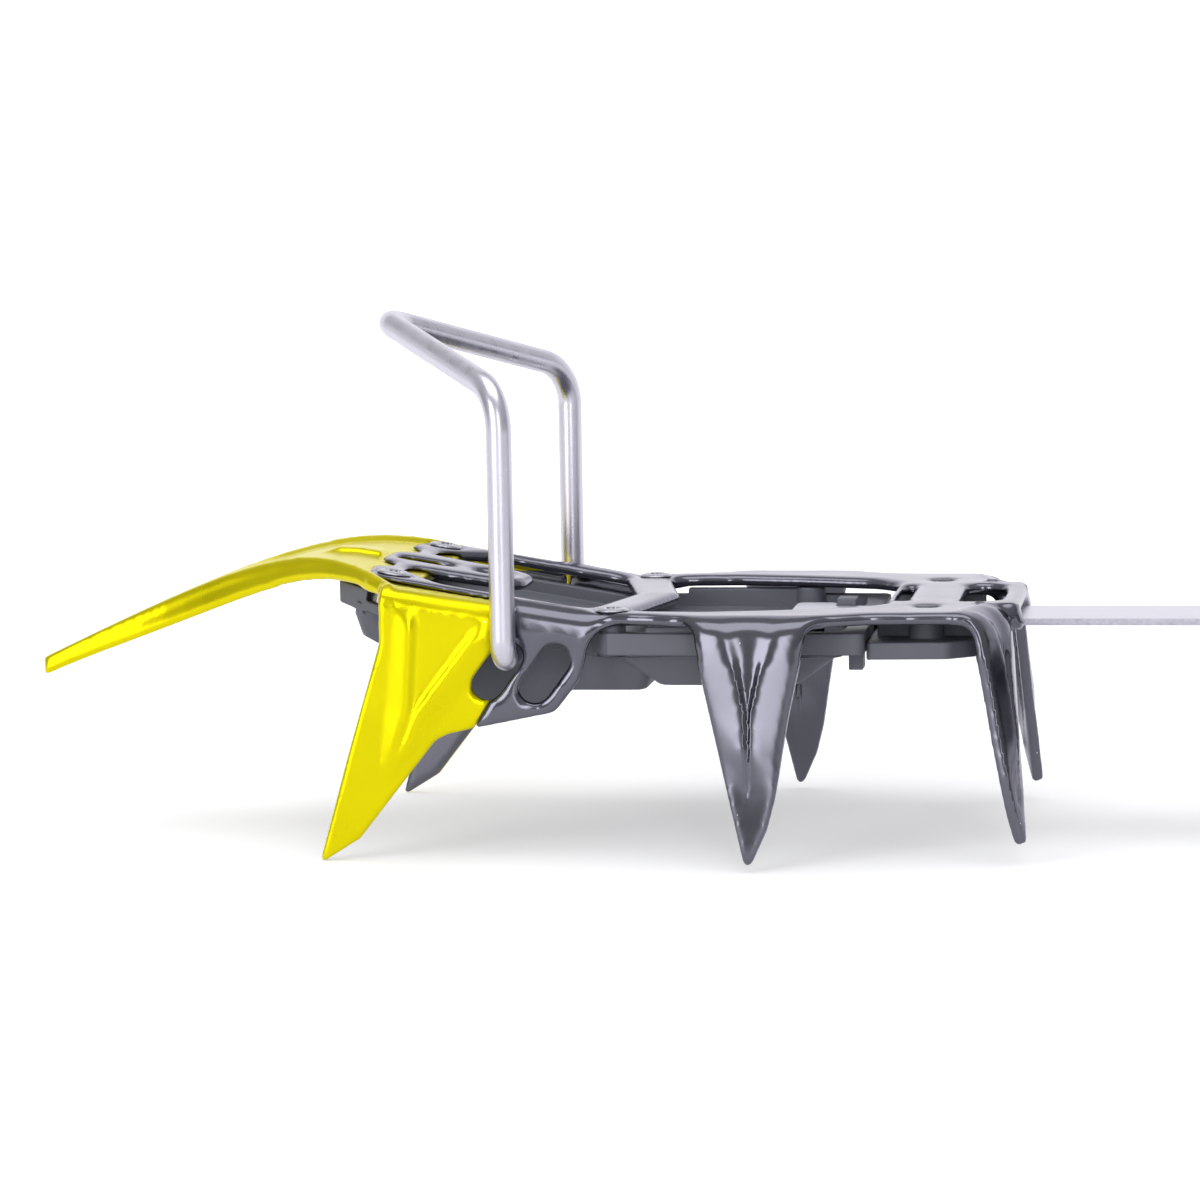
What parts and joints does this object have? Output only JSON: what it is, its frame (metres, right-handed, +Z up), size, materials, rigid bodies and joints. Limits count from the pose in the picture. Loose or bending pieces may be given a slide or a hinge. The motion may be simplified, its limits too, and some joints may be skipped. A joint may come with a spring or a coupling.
{
  "type": "mountaineering crampon",
  "caption": "Step-in mountaineering crampon: bolted front claw, pressed steel frame with down-pointing spikes, wire toe bail, linking bar, heel piece with lever and snow plates.",
  "frame": {"origin": "centre of the chevron bridge of the front frame, on the plane the boot sole rests on", "axes": "+X towards the heel, +Z up out of the sole plane, Y across, the two sides mirror each other in Y"},
  "size_m": [0.3682, 0.106, 0.1326],
  "materials": {
    "frame_steel": "polished dark nickel-chrome steel",
    "claw_paint": "glossy yellow coat",
    "bolt_steel": "bright zinc",
    "wire_steel": "bright drawn stainless wire",
    "bar_steel": "satin spring steel",
    "insert_brass": "turned",
    "plate_plastic": "satin moulded",
    "lever_plastic": "satin moulded"
  },
  "bodies": {
    "frame": {"main_frame": "frame_steel", "front_claw": "claw_paint", "claw_bolts": "bolt_steel", "claw_nuts": "bolt_steel", "bridge_bolts": "bolt_steel", "plate_inserts": "insert_brass", "linking_bar": "bar_steel", "front_snow_plate": "plate_plastic", "rear_snow_plate": "plate_plastic", "plate_studs": "plate_plastic", "heel_frame": "frame_steel", "heel_snow_plate": "plate_plastic", "heel_studs": "plate_plastic", "heel_guide": "frame_steel", "guide_rivets": "bolt_steel", "latch_pin": "bolt_steel", "latch_spring": "bar_steel"},
    "toe_bail": {"toe_bail": "wire_steel"},
    "latch": {"length_latch": "bar_steel"},
    "heel_wire": {"heel_wire": "wire_steel"},
    "lever": {"heel_lever": "lever_plastic"},
    "adjuster": {"adjuster_screw": "bolt_steel", "adjuster_wheel": "bolt_steel"},
    "jaw": {"heel_jaw": "bar_steel"}
  },
  "joints": [
    {"name": "toe_bail_swing", "type": "hinge", "parent": "frame", "child": "toe_bail", "pos_m": [-0.02335, 0, -0.00854], "axis": [0, 1, 0], "range_deg": [-45, 65]},
    {"name": "latch_release", "type": "hinge", "parent": "frame", "child": "latch", "pos_m": [0.162, 0, -0.0106], "axis": [0, 1, 0], "range_deg": [-12, 0], "stiffness_Nm_per_rad": 0.05, "springref_deg": 17.19},
    {"name": "heel_wire_swing", "type": "hinge", "parent": "frame", "child": "heel_wire", "pos_m": [0.17, 0, 0.008], "axis": [0, 1, 0], "range_deg": [-100, 20]},
    {"name": "heel_lever_swing", "type": "hinge", "parent": "heel_wire", "child": "lever", "pos_m": [0.217, 0, 0.027], "axis": [0, 1, 0], "range_deg": [-20, 120]},
    {"name": "adjuster_turn", "type": "hinge", "parent": "lever", "child": "adjuster", "pos_m": [0.2269, 0, 0.05792], "axis": [0.1392, 0, 0.9903], "range_deg": [-900, 900]},
    {"name": "jaw_slide", "type": "slide", "parent": "lever", "child": "jaw", "axis": [0.1392, 0, 0.9903], "range_m": [-0.0032, 0.0032]}
  ],
  "couplings": [
    {"joint": "jaw_slide", "follows": "adjuster_turn", "m_per_rad": 0.00019894}
  ]
}
